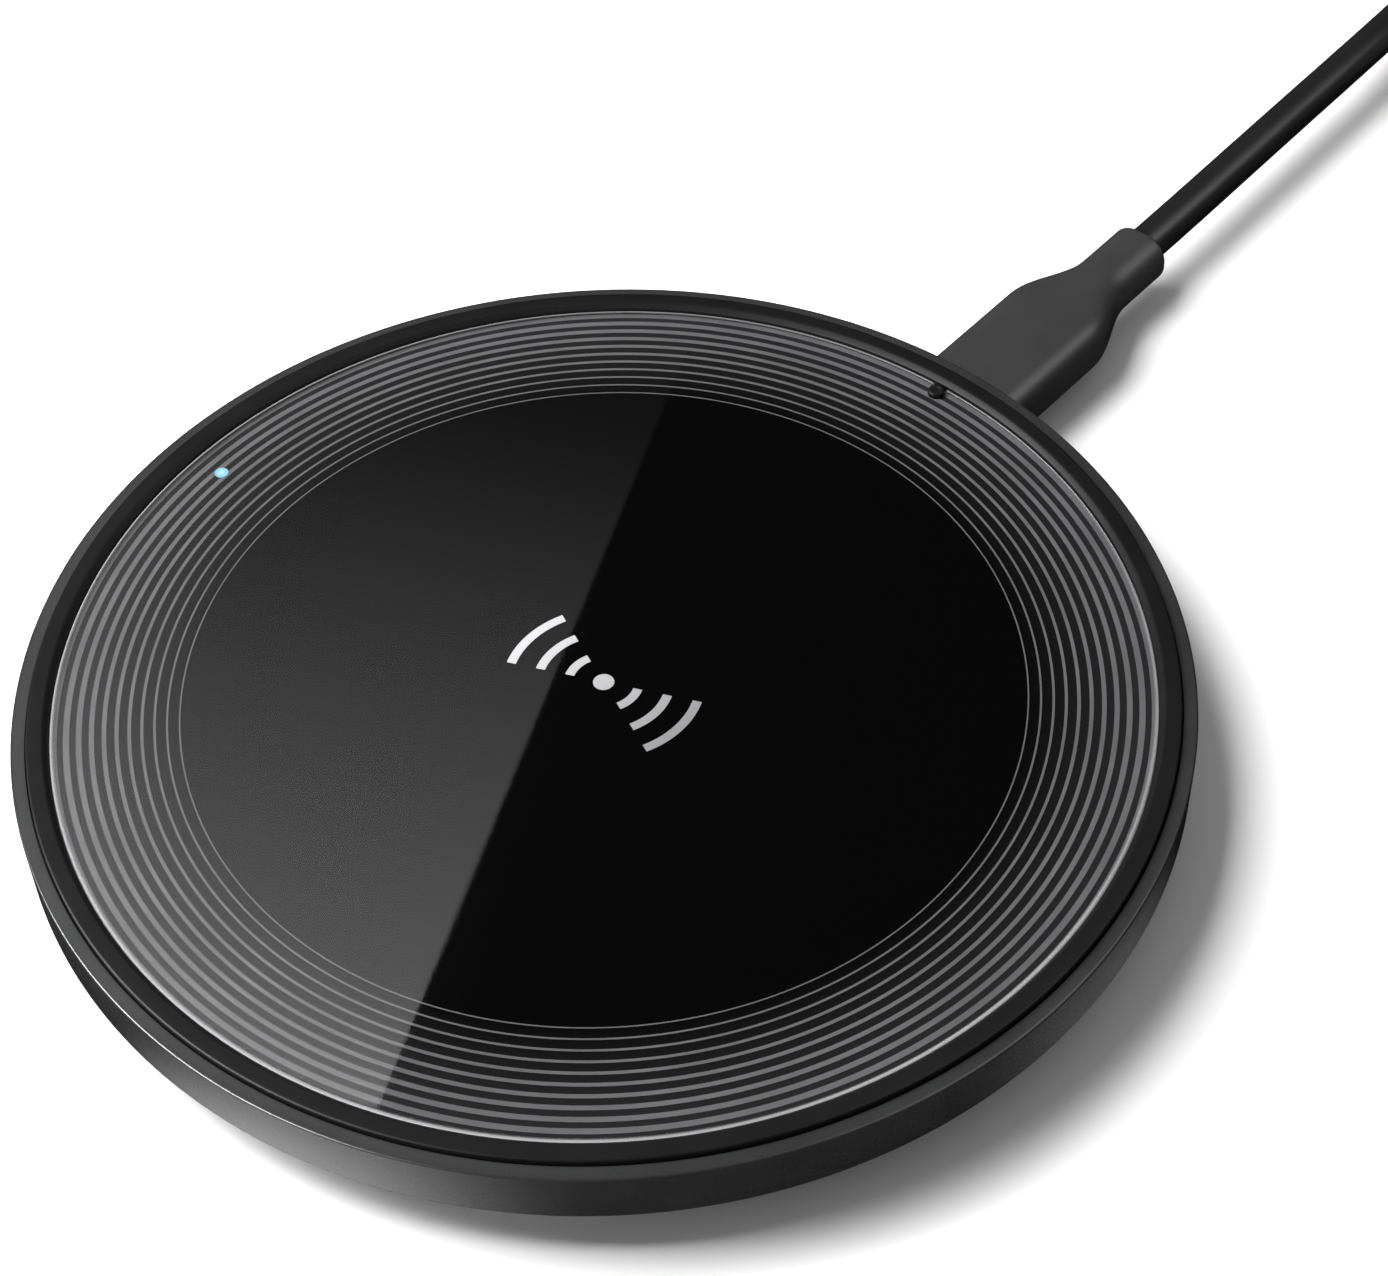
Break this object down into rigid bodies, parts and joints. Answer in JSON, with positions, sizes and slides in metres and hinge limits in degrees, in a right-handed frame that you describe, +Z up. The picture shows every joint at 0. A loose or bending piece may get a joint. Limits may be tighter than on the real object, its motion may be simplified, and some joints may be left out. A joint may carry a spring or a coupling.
{
  "type": "wireless charging pad",
  "caption": "Round flat wireless charging pad with a glossy printed top, a rubber phone rest round its edge and a plug-in charging lead.",
  "frame": {"origin": "centre of the pad's footprint, on the surface it stands on", "axes": "+Z up out of the charging face, +Y out through the port and along the lead, +X to the right of the lead"},
  "size_m": [0.108, 0.2308, 0.0106],
  "materials": {
    "housing_plastic": "satin",
    "soft_rubber": "matte",
    "lens_clear": "gloss",
    "printed_film": "printed",
    "adhesive": "matte",
    "light_pipe": "lit",
    "copper": "bare wire",
    "ferrite": "sintered",
    "steel": "zinc plated",
    "circuit_board": "solder mask",
    "chip_black": "moulded",
    "ceramic_tan": "satin",
    "nickel": "nickel plated",
    "gold_contact": "gold plated",
    "white_plastic": "moulded",
    "cord_jacket": "satin"
  },
  "bodies": {
    "pad": {"outer_shell": "housing_plastic", "base_cover": "housing_plastic", "anti_slip_ring": "soft_rubber", "cover_lens": "lens_clear", "printed_disc": "printed_film", "lens_adhesive": "adhesive", "lens_locating_pin": "soft_rubber", "foot_ring": "soft_rubber", "housing_screw_1": "steel", "housing_screw_2": "steel", "housing_screw_3": "steel", "housing_screw_4": "steel", "coil_adhesive": "adhesive", "charging_coil": "copper", "ferrite_shield": "ferrite", "coil_carrier": "white_plastic", "ballast_plate": "steel", "coil_lead_inner": "copper", "coil_lead_outer": "copper", "main_board": "circuit_board", "controller_ic": "chip_black", "input_regulator_ic": "chip_black", "power_inductor": "chip_black", "board_crystal": "nickel", "bridge_driver_1": "chip_black", "bridge_driver_2": "chip_black", "resonant_capacitor_1": "ceramic_tan", "resonant_capacitor_2": "ceramic_tan", "resonant_capacitor_3": "ceramic_tan", "resonant_capacitor_4": "ceramic_tan", "input_capacitor": "ceramic_tan", "led_chip": "white_plastic", "led_light_pipe": "light_pipe", "coil_thermistor": "chip_black", "usb_c_receptacle_shell": "nickel", "usb_c_receptacle_tongue": "chip_black"},
    "lead": {"usb_c_plug_shell": "nickel", "usb_c_plug_insert": "chip_black", "usb_c_overmould": "soft_rubber", "cable_run": "cord_jacket", "cable_coil": "cord_jacket", "cable_tie": "soft_rubber", "cable_tail": "cord_jacket", "usb_a_overmould": "soft_rubber", "usb_a_shell": "nickel", "usb_a_insert": "white_plastic", "usb_a_contact_1": "gold_contact", "usb_a_contact_2": "gold_contact", "usb_a_contact_3": "gold_contact", "usb_a_contact_4": "gold_contact"}
  },
  "joints": [
    {"name": "plug_pull", "type": "slide", "parent": "pad", "child": "lead", "axis": [0, 1, 0], "range_m": [0, 0.012]}
  ]
}
